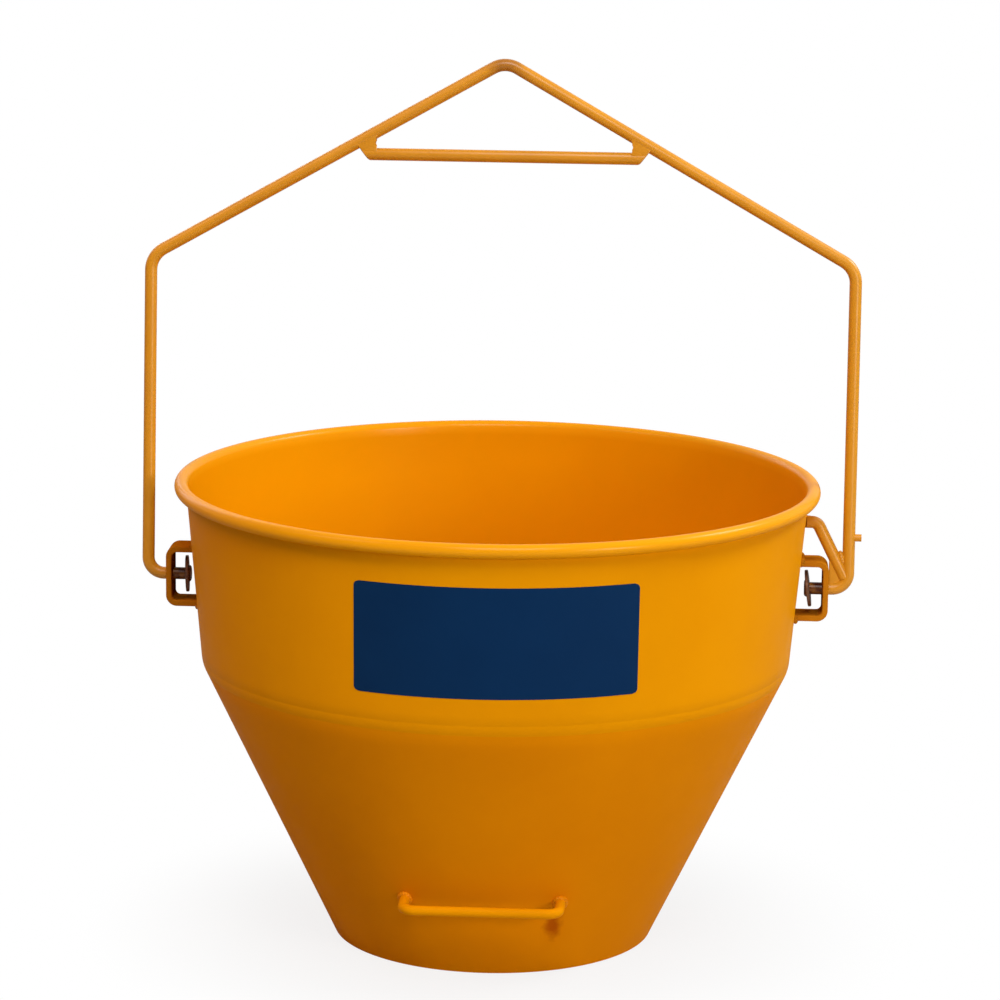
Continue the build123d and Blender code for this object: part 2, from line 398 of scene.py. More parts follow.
def turned_ring_tree():
    """A closed half section turned about Z, with the slight waves of rolled sheet."""
    tree, given, result = shape_tree("turned_ring", "Waviness", "Wave size", count="Steps round")
    guide_radius = 1.0
    position, axes = own_position(tree)
    beside_guide = math(tree, "SUBTRACT", axes["X"], guide_radius)
    downwards = math(tree, "MULTIPLY", axes["Z"], -1.0)
    profile = moved_to(tree, source_line(tree, given), beside_guide, downwards)
    links = {"Resolution": given["Steps round"], "Radius": guide_radius}
    circle = add(tree, "GeometryNodeCurvePrimitiveCircle", links)[0]
    guide = add(tree, "GeometryNodeSetCurveNormal", {"Curve": circle}, mode="Z_UP")[0]
    links = {"Curve": guide, "Profile Curve": profile, "Fill Caps": False}
    ring = add(tree, "GeometryNodeCurveToMesh", links)[0]
    waves = noise(tree, position, math(tree, "DIVIDE", 1.0, given["Wave size"]), detail=1.0)
    depth = math(tree, "MULTIPLY", math(tree, "SUBTRACT", waves, noise_middle), given["Waviness"])
    level = vector_math(tree, "MULTIPLY", position, (1.0, 1.0, 0.0))
    waved = pushed(tree, ring, scaled(tree, vector_math(tree, "NORMALIZE", level), depth))
    return close_tree(tree, given, result, waved, crease=radians(28))


def bent_bar_tree():
    """Round or flat bar bent along a line, with a bend radius at each corner."""
    tree, given, result = shape_tree("bent_bar", "Bar width", "Bar thickness", "Edge radius")
    bent = rounded(tree, source_line(tree, given), bend_steps, named(tree, "bend"))
    path = faced(tree, bent, "across")
    links = {"Width": given["Bar width"], "Height": given["Bar thickness"]}
    blank = add(tree, "GeometryNodeCurvePrimitiveQuadrilateral", links)[0]
    section = rounded(tree, blank, bar_edge_steps, given["Edge radius"])
    links = {"Curve": path, "Profile Curve": section, "Fill Caps": True}
    swept = add(tree, "GeometryNodeCurveToMesh", links)[0]
    return close_tree(tree, given, result, merged(tree, swept), crease=radians(40))


def weld_bead_tree():
    """Rippled weld bead laid along a line, with rounded ends where the line is open."""
    tree, given, result = shape_tree(
        "weld_bead", "Bead width", "Bead height", "Ripple pitch", "Ripple depth", "Unevenness", "Seed"
    )
    end_share = 0.2
    ripple_bow = 0.5
    mean_hump = 0.6
    step = math(tree, "DIVIDE", given["Ripple pitch"], steps_per_ripple)
    links = {"Curve": source_line(tree, given), "Length": step}
    even = add(tree, "GeometryNodeResampleCurve", links, mode="LENGTH")[0]
    run = add(tree, "GeometryNodeSplineParameter")["Length"]
    path = stored(tree, faced(tree, even, "out"), "run", run)

    whole = add(tree, "GeometryNodeSplineLength")["Length"]
    to_end = math(tree, "MINIMUM", run, math(tree, "SUBTRACT", whole, run))
    from_full = math(tree, "SUBTRACT", 1.0, math(tree, "DIVIDE", to_end, given["Bead width"]))
    rest = math(tree, "MAXIMUM", from_full, 0.0)
    end_square = math(tree, "SUBTRACT", 1.0 + end_share**2, math(tree, "MULTIPLY", rest, rest))
    closed = add(tree, "GeometryNodeInputSplineCyclic")[0]
    scale = math(tree, "MAXIMUM", math(tree, "SQRT", end_square), closed)

    links = {"Resolution": bead_edge_steps, "Radius": 1.0}
    circle = add(tree, "GeometryNodeCurvePrimitiveCircle", links)[0]
    position, axes = own_position(tree)
    sided = stored(tree, circle, "side", axes["Y"])
    half_width = math(tree, "DIVIDE", given["Bead width"], 2.0)
    high = math(tree, "MULTIPLY", axes["X"], given["Bead height"])
    section = moved_to(tree, sided, high, math(tree, "MULTIPLY", axes["Y"], half_width))
    links = {"Curve": path, "Profile Curve": section, "Scale": scale, "Fill Caps": True}
    smooth_bead = add(tree, "GeometryNodeCurveToMesh", links)[0]

    side = named(tree, "side")
    bow = math(tree, "MULTIPLY", math(tree, "MULTIPLY", side, side), ripple_bow)
    phase = math(tree, "SUBTRACT", math(tree, "DIVIDE", named(tree, "run"), given["Ripple pitch"]), bow)
    hump = math(tree, "ABSOLUTE", math(tree, "SINE", math(tree, "MULTIPLY", phase, pi)))
    ripple = math(tree, "MULTIPLY", math(tree, "SUBTRACT", hump, mean_hump), given["Ripple depth"])
    links = {"Vector": position, "W": given["Seed"], "Scale": 260.0, "Detail": 2.0}
    lumps = add(tree, "ShaderNodeTexNoise", links, noise_dimensions="4D")[0]
    lump = math(tree, "MULTIPLY", math(tree, "SUBTRACT", lumps, noise_middle), given["Unevenness"])
    normal = add(tree, "GeometryNodeInputNormal")[0]
    rippled = pushed(tree, smooth_bead, scaled(tree, normal, math(tree, "ADD", ripple, lump)))
    return close_tree(tree, given, result, rippled, crease=radians(75))


def label_tree():
    """Thin panel with rounded corners, wrapped on the leaning wall of the band."""
    tree, given, result = shape_tree(
        "wrapped_label", "Panel width", "Panel height", "Corner", "Thickness",
        "Middle height", "Middle radius", "Wall lean", "Turn",
    )
    links = {"Size X": 2.0, "Size Y": given["Panel height"]}
    links.update({"Vertices X": label_columns, "Vertices Y": label_rows})
    grid = add(tree, "GeometryNodeMeshGrid", links)[0]
    axes = own_position(tree)[1]
    half_height = math(tree, "DIVIDE", given["Panel height"], 2.0)
    straight = math(tree, "SUBTRACT", half_height, given["Corner"])
    beyond = math(tree, "SUBTRACT", math(tree, "ABSOLUTE", axes["Y"]), straight)
    past = math(tree, "MAXIMUM", beyond, 0.0)
    corner_square = math(tree, "MULTIPLY", given["Corner"], given["Corner"])
    arc_square = math(tree, "SUBTRACT", corner_square, math(tree, "MULTIPLY", past, past))
    arc = math(tree, "SQRT", math(tree, "MAXIMUM", arc_square, 0.0))
    half_width = math(tree, "DIVIDE", given["Panel width"], 2.0)
    row_half = math(tree, "ADD", math(tree, "SUBTRACT", half_width, given["Corner"]), arc)
    along = math(tree, "MULTIPLY", axes["X"], row_half)
    rise_out = math(tree, "MULTIPLY", axes["Y"], math(tree, "SINE", given["Wall lean"]))
    rise_up = math(tree, "MULTIPLY", axes["Y"], math(tree, "COSINE", given["Wall lean"]))
    radius = math(tree, "ADD", given["Middle radius"], rise_out)
    angle = math(tree, "ADD", math(tree, "DIVIDE", along, radius), given["Turn"])
    panel = moved_to(
        tree,
        grid,
        math(tree, "MULTIPLY", radius, math(tree, "SINE", angle)),
        math(tree, "MULTIPLY", radius, math(tree, "MULTIPLY", math(tree, "COSINE", angle), -1.0)),
        math(tree, "ADD", given["Middle height"], rise_up),
    )
    links = {"Mesh": panel, "Offset Scale": given["Thickness"], "Individual": False}
    front = add(tree, "GeometryNodeExtrudeMesh", links)[0]
    back = add(tree, "GeometryNodeFlipFaces", {"Mesh": panel})[0]
    both = tree.nodes.new("GeometryNodeJoinGeometry")
    for side in (front, back):
        feed(tree, both, {0: side})
    return close_tree(tree, given, result, merged(tree, both.outputs[0]), crease=radians(40))


turned_ring = turned_ring_tree()
bent_bar = bent_bar_tree()
weld_bead = weld_bead_tree()
wrapped_label = label_tree()


# From trees to pieces

def linked(name, data):
    """A new object in the scene."""
    made = bpy.data.objects.new(name, data)
    bpy.context.scene.collection.objects.link(made)
    return made


def plain_mesh(made):
    """The mesh that an object's modifier makes; the object is taken away."""
    depsgraph = bpy.context.evaluated_depsgraph_get()
    mesh = bpy.data.meshes.new_from_object(made.evaluated_get(depsgraph), depsgraph=depsgraph)
    bpy.data.objects.remove(made)
    return mesh


def line_mesh(name, points, closed=False, **attributes):
    """A line of points as a mesh, with one value or vector for each point under each name."""
    mesh = bpy.data.meshes.new(name)
    count = len(points)
    edges = [(i, (i + 1) % count) for i in range(count if closed else count - 1)]
    mesh.from_pydata([tuple(p) for p in points], edges, [])
    for label, values in attributes.items():
        is_vector = hasattr(values[0], "__len__")
        layer = mesh.attributes.new(label, "FLOAT_VECTOR" if is_vector else "FLOAT", "POINT")
        for item, value in zip(layer.data, values):
            if is_vector:
                item.vector = value
            else:
                item.value = value
    return mesh


def shaped(name, tree, source, **sizes):
    """The plain mesh that a tree makes from a source line."""
    holder = linked(name, source)
    modifier = holder.modifiers.new("shape", "NODES")
    modifier.node_group = tree
    wanted = {word.replace("_", " ").capitalize(): value for word, value in sizes.items()}
    for socket in tree.interface.items_tree:
        if socket.in_out == "INPUT" and socket.name in wanted:
            modifier[socket.identifier] = wanted.pop(socket.name)
    assert not wanted, wanted
    mesh = plain_mesh(holder)
    bpy.data.meshes.remove(source)
    return mesh


def outwards(mesh):
    """Merges doubles and points every face of a closed mesh outwards."""
    work = bmesh.new()
    work.from_mesh(mesh)
    bmesh.ops.remove_doubles(work, verts=work.verts, dist=1e-7)
    bmesh.ops.recalc_face_normals(work, faces=work.faces)
    work.to_mesh(mesh)
    work.free()
    return mesh


def joined(meshes):
    """Several meshes with the same material as one."""
    work = bmesh.new()
    for mesh in meshes:
        work.from_mesh(mesh)
    work.to_mesh(meshes[0])
    work.free()
    for mesh in meshes[1:]:
        bpy.data.meshes.remove(mesh)
    return meshes[0]


def placed(mesh, matrix):
    """The mesh moved, with its faces still outwards."""
    mesh.transform(matrix)
    if matrix.determinant() < 0:
        mesh.flip_normals()
    return mesh


def drilled(mesh, middle, radius, length):
    """The mesh with a round hole through it along X."""
    drill_mesh = bpy.data.meshes.new("drill")
    work = bmesh.new()
    bmesh.ops.create_cone(
        work, cap_ends=True, segments=hole_steps, radius1=radius, radius2=radius, depth=length,
        matrix=Matrix.Translation(middle) @ Matrix.Rotation(pi / 2, 4, "Y"),
    )
    work.to_mesh(drill_mesh)
    work.free()
    plate = linked("plate", mesh)
    drill = linked("drill", drill_mesh)
    cut = plate.modifiers.new("hole", "BOOLEAN")
    cut.object = drill
    cut.operation = "DIFFERENCE"
    cut.solver = "EXACT"
    result = plain_mesh(plate)
    bpy.data.objects.remove(drill)
    return result


def round_rims(work, rims, radius):
    """Rounds some edges of a mesh in work and makes all its faces smooth."""
    bmesh.ops.bevel(work, geom=rims, offset=radius, segments=bevel_steps, affect="EDGES", profile=0.5)
    for face in work.faces:
        face.smooth = True


def eased_ends(mesh, edge):
    """The mesh of a bar with the rims of its end faces rounded."""
    work = bmesh.new()
    work.from_mesh(mesh)
    rims = [line for line in work.edges if any(len(face.verts) > 4 for face in line.link_faces)]
    round_rims(work, rims, edge)
    for line in work.edges:
        line.smooth = True
    work.to_mesh(mesh)
    work.free()
    return mesh


def flat_web(name, outline, thickness, edge, material):
    """Mesh of a flat plate across the bail, from its outline in x and height, with rounded edges."""
    half = thickness / 2
    work = bmesh.new()
    front = [work.verts.new((x, -half, height)) for x, height in outline]
    back = [work.verts.new((x, half, height)) for x, height in outline]
    work.faces.new(front)
    work.faces.new(back[::-1])
    for i in range(len(outline)):
        j = (i + 1) % len(outline)
        work.faces.new((front[j], front[i], back[i], back[j]))
    rims = [line for line in work.edges if abs(line.verts[0].co.y - line.verts[1].co.y) < half]
    round_rims(work, rims, edge)
    mesh = bpy.data.meshes.new(name)
    work.to_mesh(mesh)
    work.free()
    mesh.set_sharp_from_angle(angle=radians(50))
    mesh.materials.append(material)
    return outwards(mesh)


def turned(name, section, material, steps=shell_steps, waviness=shell_waviness):
    """Mesh of a closed half section turned about Z."""
    mesh = shaped(
        name, turned_ring, line_mesh(name, section, closed=True),
        steps_round=steps, waviness=waviness, wave_size=shell_wave_size, material=material,
    )
    return outwards(mesh)


def bar(name, points, bends, width, thickness, edge, across, material):
    """Mesh of a bar bent along points, each with its bend radius."""
    mesh = shaped(
        name, bent_bar, line_mesh(name, points, bend=bends, across=[across] * len(points)),
        bar_width=width, bar_thickness=thickness, edge_radius=edge, material=material,
    )
    return outwards(mesh)


def round_bar(name, points, bends, diameter, across, material):
    """Mesh of a round bar bent along points."""
    return bar(name, points, bends, diameter, diameter, diameter / 2, across, material)


def bead(name, points, outs, width, height, material, seed, closed=False):
    """Mesh of a weld bead along points, each with the direction that the bead faces."""
    mesh = shaped(
        name, weld_bead, line_mesh(name, points, closed, out=outs),
        bead_width=width, bead_height=height, ripple_pitch=ripple_pitch, ripple_depth=ripple_depth,
        unevenness=bead_unevenness, seed=float(seed), material=material,
    )
    return outwards(mesh)


def piece(name, mesh, body, slot, *nodes):
    """A finished piece that rides on a body and stands for CAD nodes."""
    mesh.name = name
    made = linked(name, mesh)
    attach(made, body)
    if nodes:
        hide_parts(*nodes)
    return made


def step_along(lean, distance):
    """Step up a wall that leans outwards, as radius and height."""
    return Vector((distance * sin(lean), 0, distance * cos(lean)))


def step_out(lean, distance):
    """Step square out of a wall that leans outwards, as radius and height."""
    return Vector((distance * cos(lean), 0, -distance * sin(lean)))


def turns(count):
    """Cosine and sine of even turns round a circle."""
    return [(cos(2 * pi * i / count), sin(2 * pi * i / count)) for i in range(count)]


# Materials

peel_scale = 230.0
peel_depth = 0.00002
# Dark reddish brown painted into the pivots as shade.
pivot_shade_colour = (0.085, 0.012, 0.0025)
rubbed_paint = (0.300, 0.110, 0.0180)
# Painted shadow under the handle's right end: dark reddish brown.
handle_shadow_colour = (0.430, 0.077, 0.0005)
# Painted highlight: a brighter, yellower colour laid on the rim.
rim_highlight_paint = (0.860, 0.365, 0.0040)
rim_coat_roughness = 0.22
label_blue = (0.0018, 0.0245, 0.0920)
label_pale_blue = (0.0025, 0.0300, 0.1080)


def sprayed_coat_group():
    """Sprayed enamel: faint clouds of colour, orange peel and a few dust nibs."""
    inputs = {
        "Paint": colour_socket,
        "Thick paint": colour_socket,
        "Cloud scale": number_socket,
        "Peel scale": number_socket,
        "Base roughness": number_socket,
    }
    outputs = {"Color": colour_socket, "Roughness": number_socket, "Height": number_socket}
    tree, given, result = group("sprayed_coat", "ShaderNodeTree", inputs, outputs)
    place = object_place(tree)
    clouds = noise(tree, place, given["Cloud scale"], detail=4.0, roughness=0.55)
    share = ramp(tree, clouds, over=(0.35, 0.7))
    colour = blended(tree, share, given["Paint"], given["Thick paint"])
    peel = noise(tree, place, given["Peel scale"], detail=1.5)
    dust = add(tree, "ShaderNodeTexVoronoi", {"Vector": place, "Scale": 95.0})["Distance"]
    nibs = ramp(tree, dust, over=(0.0, 0.09), onto=(0.8, 0.0))
    streaks = noise(tree, place, scale=38.0, detail=3.0)
    uneven = ramp(tree, streaks, over=(0.3, 0.7), onto=(-0.05, 0.06))
    roughness = math(tree, "ADD", given["Base roughness"], uneven)
    height = math(tree, "ADD", peel, nibs)
    feed(tree, result, {"Color": colour, "Roughness": roughness, "Height": height})
    return tree


def pivot_painted_shade_group():
    """Painted shade inside the pivot straps, darkening the pins and the inner faces, as a mask."""
    tree, given, result = group(
        "pivot_painted_shade", "ShaderNodeTree", {"Spread": number_socket}, {"Mask": number_socket}
    )
    place = object_place(tree)
    from_pivot = vector_math(tree, "SUBTRACT", place, (0, 0, pivot_height))
    aside = math(tree, "ABSOLUTE", axes_of(tree, from_pivot)["X"])
    strap_inside = strap_face - strap_thickness
    shade_edge = (strap_inside + 0.0003, strap_inside + 0.0012)
    inside = ramp(tree, aside, over=shade_edge, onto=(1.0, 0.0))
    away = length_of(tree, vector_math(tree, "MULTIPLY", from_pivot, (0, 1, 1)))
    fading = math(tree, "MULTIPLY", given["Spread"], 0.7)
    near = ramp(tree, away, over=(fading, given["Spread"]), onto=(1.0, 0.0))
    blotches = noise(tree, place, scale=190.0, detail=4.0)
    uneven = ramp(tree, blotches, over=(0.3, 0.6), onto=(0.55, 1.0))
    mask = math(tree, "MULTIPLY", math(tree, "MULTIPLY", inside, near), uneven)
    feed(tree, result, {"Mask": mask})
    return tree


def wear_and_shadow_spot_group():
    """A spot with a ragged edge, as a mask: worn paint at the bail's peak, painted shadow under the
    handle.
    """
    inputs = {
        "Middle": vector_socket,
        "Squeeze": vector_socket,
        "Spread": number_socket,
        "Strength": number_socket,
    }
    tree, given, result = group("wear_and_shadow_spot", "ShaderNodeTree", inputs, {"Mask": number_socket})
    place = object_place(tree)
    from_middle = vector_math(tree, "SUBTRACT", place, given["Middle"])
    away = length_of(tree, vector_math(tree, "MULTIPLY", from_middle, given["Squeeze"]))
    patches = noise(tree, place, scale=150.0, detail=4.0)
    ragged = math(tree, "MULTIPLY", math(tree, "SUBTRACT", patches, noise_middle), given["Spread"])
    fading = math(tree, "MULTIPLY", given["Spread"], 0.3)
    reach = math(tree, "ADD", away, ragged)
    mask = ramp(tree, reach, over=(fading, given["Spread"]), onto=(given["Strength"], 0.0))
    feed(tree, result, {"Mask": mask})
    return tree


sprayed_coat = sprayed_coat_group()
pivot_painted_shade = pivot_painted_shade_group()
wear_and_shadow_spot = wear_and_shadow_spot_group()


def new_material(name):
    """A new material; gives it with its tree and its Principled shader."""
    material = bpy.data.materials.new(name)
    material.use_nodes = True
    tree = material.node_tree
    return material, tree, tree.nodes["Principled BSDF"]


def enamel(name, paint, thick_paint, cloud_scale, roughness, shine, pivot_shade=0, spot=None, rim_coat_and_highlight=0):
    """Amber enamel over steel, with painted shade at the pivots, a spot of given colour, and a clear coat
    with a painted highlight colour on the rim, each where asked for.
    """
    material, tree, shader = new_material(name)
    links = {
        "Paint": (*paint, 1),
        "Thick paint": (*thick_paint, 1),
        "Cloud scale": cloud_scale,
        "Peel scale": peel_scale,
        "Base roughness": roughness,
    }
    coat = add(tree, "ShaderNodeGroup", links, node_tree=sprayed_coat)
    colour = coat["Color"]
    if pivot_shade:
        mask = add(tree, "ShaderNodeGroup", {"Spread": pivot_shade}, node_tree=pivot_painted_shade)["Mask"]
        # Painted shade: the pins and the inner faces of the straps darkened to reddish brown.
        colour = blended(tree, mask, colour, (*pivot_shade_colour, 1))
    # A spot of given colour: worn paint at the bail's peak, painted shadow under the handle.
    if spot:
        mask = add(tree, "ShaderNodeGroup", spot["shape"], node_tree=wear_and_shadow_spot)["Mask"]
        colour = blended(tree, mask, colour, (*spot["colour"], 1))
    if rim_coat_and_highlight:
        height = axes_of(tree, object_place(tree))["Z"]
        on_rim = ramp(tree, height, over=(curl_height - curl_outer, curl_height))
        # Painted highlight: the rim coloured brighter and yellower than the paint, under a real clear
        # coat.
        colour = blended(tree, on_rim, colour, (*rim_highlight_paint, 1))
        clear_coat = math(tree, "MULTIPLY", on_rim, rim_coat_and_highlight)
        feed(tree, shader, {"Coat Weight": clear_coat, "Coat Roughness": rim_coat_roughness})
    bump = add(tree, "ShaderNodeBump", {"Height": coat["Height"], "Distance": peel_depth})[0]
    links = {"Base Color": colour, "Roughness": coat["Roughness"], "Normal": bump}
    feed(tree, shader, {**links, "Specular IOR Level": shine})
    return material


def dull_steel(name, steel, stain, stain_scale, roughness):
    """Bare steel with stains."""
    material, tree, shader = new_material(name)
    patches = noise(tree, object_place(tree), stain_scale, detail=6.0, roughness=0.65)
    share = ramp(tree, patches, over=(0.42, 0.62))
    colour = blended(tree, share, (*steel, 1), (*stain, 1))
    bare = ramp(tree, share, over=(0.0, 1.0), onto=(0.85, 0.15))
    rough = ramp(tree, share, over=(0.0, 1.0), onto=(roughness, min(1.0, roughness + 0.3)))
    bump = add(tree, "ShaderNodeBump", {"Height": patches, "Distance": 0.0001})[0]
    feed(tree, shader, {"Base Color": colour, "Metallic": bare, "Roughness": rough, "Normal": bump})
    return material


def label_vinyl():
    """Dark blue printed film, blank."""
    material, tree, shader = new_material("label_vinyl")
    place = object_place(tree)
    ink = noise(tree, place, scale=22.0, detail=5.0)
    colour = blended(tree, ink, (*label_blue, 1), (*label_pale_blue, 1))
    film = noise(tree, place, scale=180.0, detail=2.0)
    rough = ramp(tree, film, over=(0.0, 1.0), onto=(0.34, 0.46))
    bump = add(tree, "ShaderNodeBump", {"Height": film, "Distance": 0.00003})[0]
    links = {"Base Color": colour, "Roughness": rough, "Normal": bump}
    feed(tree, shader, {**links, "Specular IOR Level": 0.05})
    return material


rubbed_peak = {
    "shape": {
        "Middle": (0, peak_height * sin(bail_lean), pivot_height + peak_height * cos(bail_lean)),
        "Squeeze": (1, 1, 1),
        "Spread": 0.022,
        "Strength": 0.65,
    },
    "colour": rubbed_paint,
}
# Painted shadow of the handle's right end, a dark patch on the cone just below it.
shadow_under_handle = {
    "shape": {
        "Middle": (shadow_x, cone_front(shadow_x, shadow_height), shadow_height),
        "Squeeze": (1.05, 0.4, 0.5),
        "Spread": 0.0088,
        "Strength": 0.85,
    },
    "colour": handle_shadow_colour,
}
shell_enamel = enamel(
    "shell_enamel", paint=(0.805, 0.322, 0.0006), thick_paint=(0.765, 0.297, 0.0005),
    cloud_scale=7.0, roughness=0.40, shine=0.012, rim_coat_and_highlight=0.22,
)
# Painted shade: the cone carries the band's paint, coloured darker and redder as the downward-facing wall
# is shaded.
cone_shaded_enamel = enamel(
    "cone_shaded_enamel", paint=(0.790, 0.276, 0.0006), thick_paint=(0.740, 0.249, 0.0005),
    cloud_scale=7.0, roughness=0.42, shine=0.008, spot=shadow_under_handle,
)
bail_enamel = enamel(
    "bail_enamel", paint=(0.690, 0.305, 0.0120), thick_paint=(0.630, 0.270, 0.0100),
    cloud_scale=24.0, roughness=0.36, shine=0.45, pivot_shade=0.012, spot=rubbed_peak,
)
# Painted shade: the straps carry the band's paint, coloured much darker as shaded under the rim.
strap_shaded_enamel = enamel(
    "strap_shaded_enamel", paint=(0.520, 0.198, 0.0080), thick_paint=(0.450, 0.160, 0.0060),
    cloud_scale=24.0, roughness=0.60, shine=0.0, pivot_shade=0.024,
)
weld_enamel = enamel(
    "weld_enamel", paint=(0.800, 0.285, 0.0015), thick_paint=(0.720, 0.242, 0.0010),
    cloud_scale=60.0, roughness=0.36, shine=0.10,
)
washer_steel = dull_steel(
    "washer_steel", steel=(0.22, 0.13, 0.085), stain=(0.120, 0.042, 0.016),
    stain_scale=140.0, roughness=0.45,
)
rim_wire_steel = dull_steel(
    "rim_wire_steel", steel=(0.42, 0.41, 0.40), stain=(0.16, 0.10, 0.07),
    stain_scale=90.0, roughness=0.40,
)
label_film = label_vinyl()


# Shell of the bucket

knee_out = Vector((knee_radius, 0, knee_height))
knee_in = knee_out + step_out(mitre_lean, -mitre_depth)
knee_above = knee_out + step_along(band_lean, knee_round)
knee_below = knee_out + step_along(cone_lean, -knee_round)
curl_centre = Vector((curl_radius, 0, curl_height))


def wall_line(start, end):
    """Points along a wall from start to end, without the end."""
    return [start.lerp(end, i / wall_rows) for i in range(wall_rows)]


def band_section():
    """Upper sheet, curled outwards round the rim wire, as a closed half section."""
    start = pi - band_lean
    free = acos((curl_inner - curl_gap) / curl_outer)
    turn = free - 2 * pi

    def curl_point(radius, part):
        angle = start + turn * part
        return curl_centre + Vector((radius * cos(angle), 0, radius * sin(angle)))

    inner = [curl_point(curl_inner, i / curl_steps) for i in range(curl_steps + 1)]
    outer = [curl_point(curl_outer, 1 - i / curl_steps) for i in range(curl_steps + 1)]
    inside = wall_line(outer[-1], knee_in)[1:] + [knee_in]
    return wall_line(knee_above, inner[0]) + inner + outer + inside


def cone_section():
    """Lower sheet, mitred to the band at the knee, as a closed half section."""
    foot_out = Vector((base_radius, 0, 0))
    foot_in = Vector((disc_radius, 0, 0))
    outside = wall_line(foot_out, knee_below) + [knee_below]
    return outside + wall_line(knee_in, foot_in) + [foot_in]


def knee_section():
    """Outside weld of the knee, ground round, as a closed half section."""
    arc = []
    for i in range(knee_steps + 1):
        t = i / knee_steps
        arc.append(knee_above * (1 - t) ** 2 + knee_out * 2 * t * (1 - t) + knee_below * t**2)
    return arc + [knee_in]


def ring_bead(name, radius, height, out, width, crown, material, seed):
    """Weld bead round the Z axis that faces a direction, given as radius and height."""
    points = []
    outs = []
    for across, along in turns(long_bead_points):
        points.append(Vector((radius * across, radius * along, height)))
        outs.append(Vector((out.x * across, out.x * along, out.z)).normalized())
    return bead(name, points, outs, width, crown, material, seed, closed=True)


def seam_bead(name, low, high, lean, aside, seed):
    """Bead up the joint of a rolled sheet, at the back, a distance aside from the middle."""
    turn = Matrix.Rotation(pi / 2 + aside / knee_radius, 4, "Z")
    out = turn @ step_out(lean, 1)
    return bead(name, [turn @ low, turn @ high], [out, out], seam_width, seam_crown, weld_enamel, seed)


def wrapped_panel():
    """The label's mesh, laid on the band."""
    return shaped(
        "front_label", wrapped_label, bpy.data.meshes.new("label"),
        panel_width=label_width, panel_height=label_height, corner=label_corner,
        thickness=label_thickness, middle_height=label_middle,
        middle_radius=band_radius(label_middle) + label_lift + shell_waviness / 2,
        wall_lean=band_lean, turn=label_turn, material=label_film,
    )


band_shell = turned("band_shell", band_section(), shell_enamel)
cone_shell = turned("cone_shell", cone_section(), cone_shaded_enamel)
knee_inside_bead = ring_bead(
    "knee_inside", knee_in.x, knee_in.z, step_out(mitre_lean, -1),
    knee_bead_width, knee_bead_crown, shell_enamel, seed=3,
)
knee_beads = joined([turned("knee_beads", knee_section(), shell_enamel), knee_inside_bead])
bottom_bead = ring_bead(
    "bottom_bead", disc_radius - bottom_bead_inset, bottom_thickness + bottom_bead_lift,
    Vector((-1, 0, 1)), bottom_bead_width, bottom_bead_crown, weld_enamel, seed=5,
)
band_seam = seam_bead(
    "band_seam",
    knee_out + step_along(band_lean, seam_end_gap),
    knee_out + step_along(band_lean, hypot(curl_out, curl_up) - curl_outer - seam_end_gap),
    band_lean, -seam_stagger, seed=7,
)
cone_seam = seam_bead(
    "cone_seam",
    knee_out + step_along(cone_lean, seam_end_gap - knee_height / cos(cone_lean)),
    knee_out + step_along(cone_lean, -seam_end_gap),
    cone_lean, seam_stagger, seed=9,
)
piece("band_shell", band_shell, "bucket", "shell_paint", "upper_band")
piece("cone_shell", cone_shell, "bucket", "shell_paint", "lower_cone")
piece("knee_beads", knee_beads, "bucket", "weld_paint", "knee_welds")
piece("bottom_bead", bottom_bead, "bucket", "weld_paint", "bottom_weld")
piece("band_seam", band_seam, "bucket", "weld_paint", "band_seam_weld")
piece("cone_seam", cone_seam, "bucket", "weld_paint", "cone_seam_weld")
front_label = linked("front_label", wrapped_panel())
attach(front_label, "bucket")


# Pivot straps and their welds

def pivot_strap():
    """Flat bar bent into a C, its ends in the wall, with the pivot hole."""
    centre = strap_height / 2 - strap_thickness / 2
    sunk = sheet / 2
    points = []
    for side in (1, -1):
        height = pivot_height + side * centre
        corner = (strap_face - strap_thickness / 2, 0, height)
        root = (band_radius(height) - sunk, 0, height)
        points += [root, corner] if side > 0 else [corner, root]
    middle_bend = strap_bend + strap_thickness / 2
    bends = [0, middle_bend, middle_bend, 0]
    mesh = bar("strap", points, bends, strap_width, strap_thickness, strap_edge, (0, 1, 0), strap_shaded_enamel)
    hole = bail_rod / 2 + pin_clearance
    return drilled(mesh, (strap_face, 0, pivot_height), hole, length=3 * strap_thickness)


def wall_x(y, z):
    """Distance of the band's outside from the middle plane, at a place beside the pivot."""
    return sqrt(band_radius(z) ** 2 - y**2)


def strap_beads(seed):
    """Fillet welds round the outside of both ends of a strap."""
    half = strap_width / 2
    meshes = []
    for side in (1, -1):
        inner = pivot_height + side * (strap_height / 2 - strap_thickness)
        outer = pivot_height + side * strap_height / 2
        route = [(-half, inner), (-half, outer), (half, outer), (half, inner)]
        points = []
        outs = []
        for (y0, z0), (y1, z1) in zip(route, route[1:]):
            for i in range(bead_side_steps):
                y = y0 + (y1 - y0) * i / bead_side_steps
                z = z0 + (z1 - z0) * i / bead_side_steps
                out = Vector((1, y / half * root_bead_splay, side * root_bead_splay))
                points.append(Vector((wall_x(y, z) + root_bead_lift, y, z)))
                outs.append(out.normalized())
        meshes.append(
            bead("strap_bead", points, outs, root_bead, root_bead / 2, strap_shaded_enamel, seed + side)
        )
    return joined(meshes)


right_strap = pivot_strap()
left_strap = placed(right_strap.copy(), mirror_left)
piece("right_strap", right_strap, "bucket", "shell_paint", "right_pivot_strap")
piece("left_strap", left_strap, "bucket", "shell_paint", "left_pivot_strap")
right_strap_beads = strap_beads(seed=11)
left_strap_beads = placed(strap_beads(seed=21), mirror_left)
piece("right_strap_beads", right_strap_beads, "bucket", "weld_paint", "right_strap_welds")
piece("left_strap_beads", left_strap_beads, "bucket", "weld_paint", "left_strap_welds")


# Tipping handle

